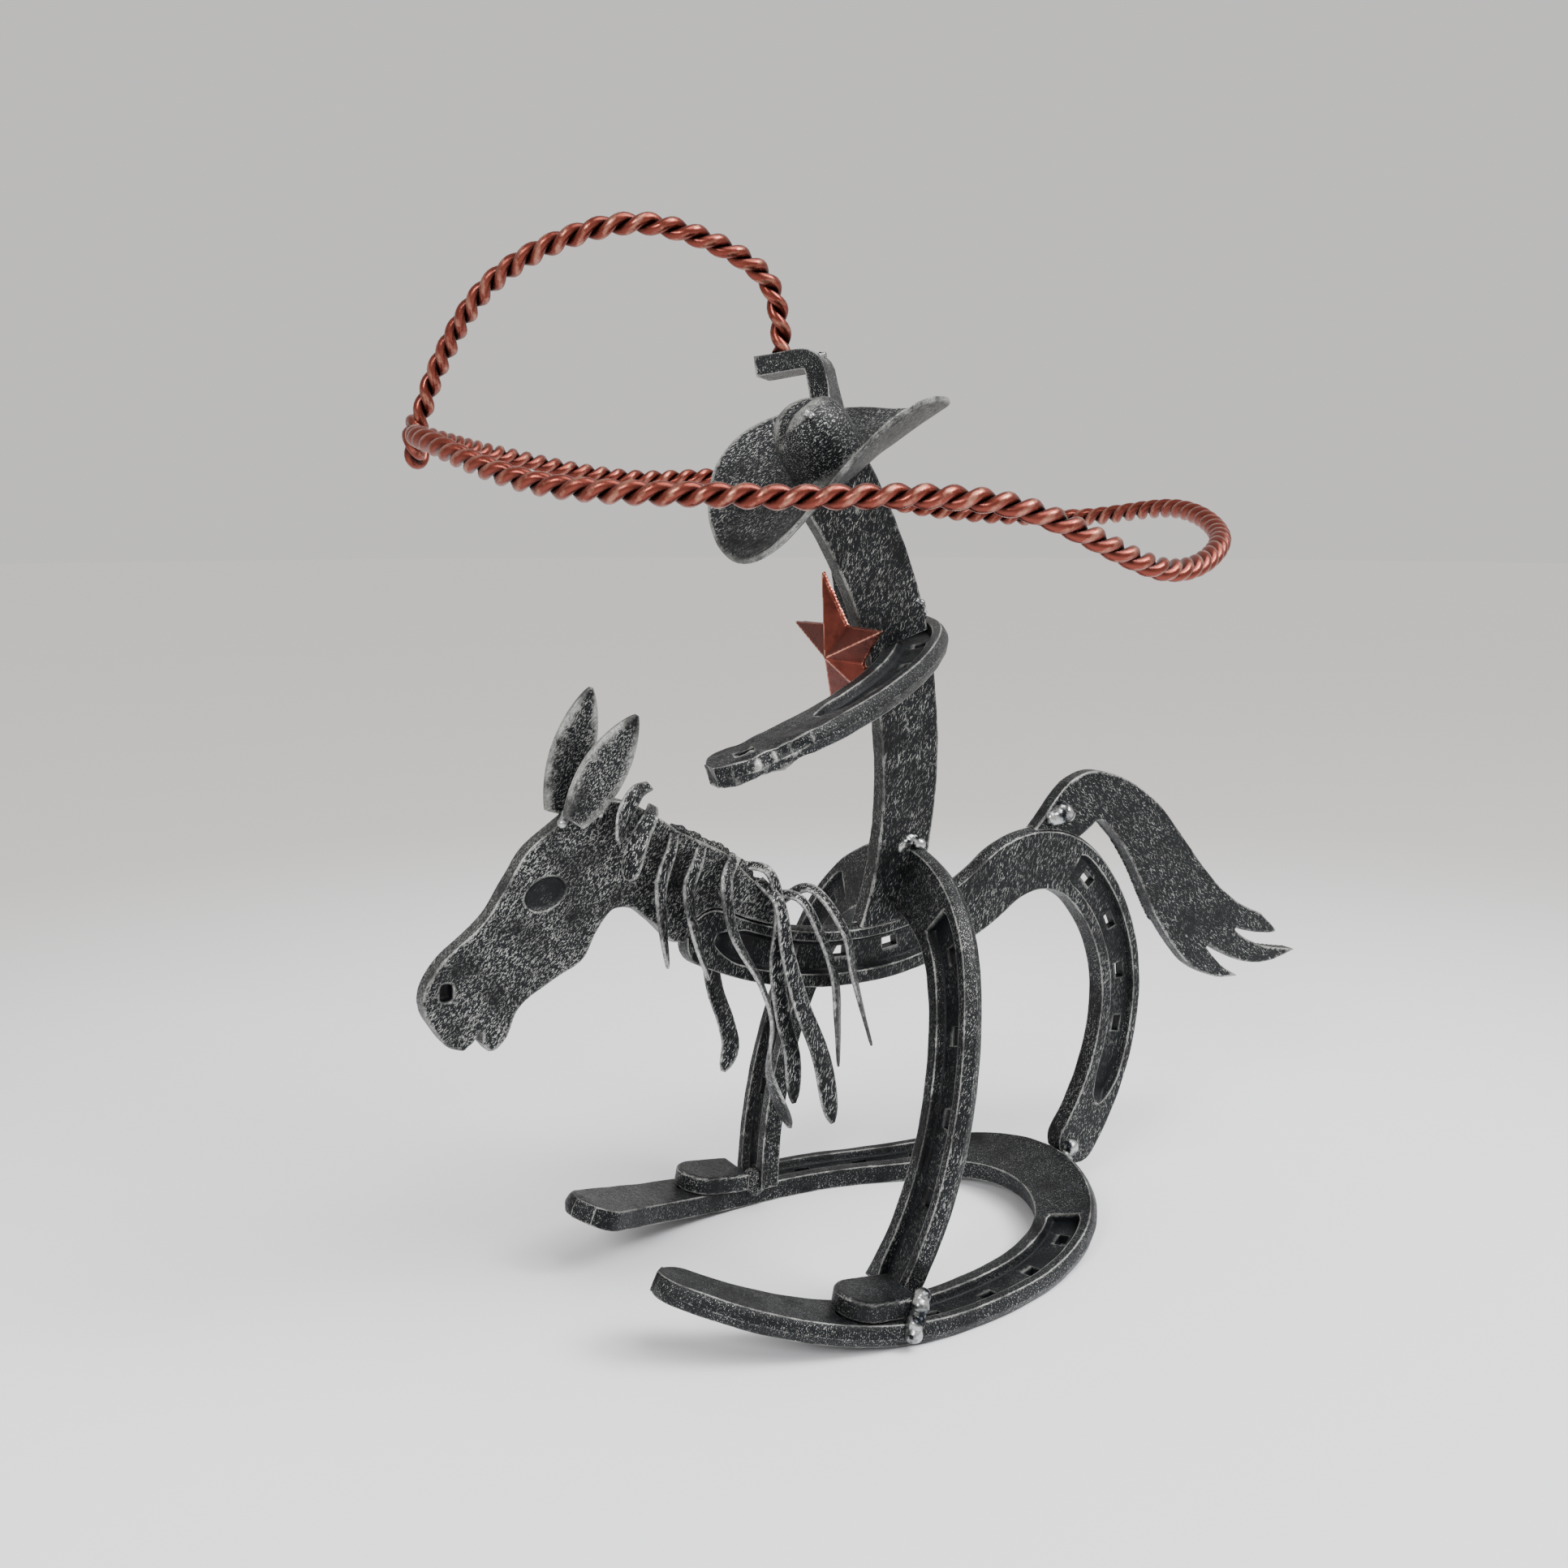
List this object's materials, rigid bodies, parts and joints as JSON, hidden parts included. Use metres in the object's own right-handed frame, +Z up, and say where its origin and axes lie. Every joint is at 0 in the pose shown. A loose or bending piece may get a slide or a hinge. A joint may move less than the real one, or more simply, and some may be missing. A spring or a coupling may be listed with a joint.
{
  "type": "wrought iron cowboy sculpture",
  "caption": "Rider with raised lasso on a bucking rocking horse, welded from old horseshoes, cut plate and twisted wire, standing on a horseshoe rocker base.",
  "frame": {"origin": "on the ground under the near branch of the horseshoe base, at the middle of the flat spot it rests on", "axes": "+X towards the horse's tail, +Y towards the far side of the horse (the rider's right), +Z up"},
  "size_m": [0.3125, 0.2502, 0.2978],
  "materials": {
    "iron": "near-black paint dry-brushed with worn silver on edges and hammer marks, semi-gloss",
    "copper": "reddish copper paint with dark recesses and lighter worn tops, semi-gloss"
  },
  "bodies": {
    "root": {"forelock_1": "iron", "forelock_2": "iron", "mane_1": "iron", "mane_2": "iron", "mane_3": "iron", "mane_4": "iron", "mane_5": "iron", "mane_6": "iron", "mane_7": "iron", "mane_8": "iron", "base_shoe": "iron", "leg_shoe": "iron", "near_boot": "iron", "far_boot": "iron", "body_shoe": "iron", "head": "iron", "near_ear": "iron", "far_ear": "iron", "tail": "iron", "trunk": "iron", "arm_shoe": "iron", "hat_brim": "iron", "hat_crown": "iron", "star": "copper", "lasso": "copper"}
  },
  "joints": []
}
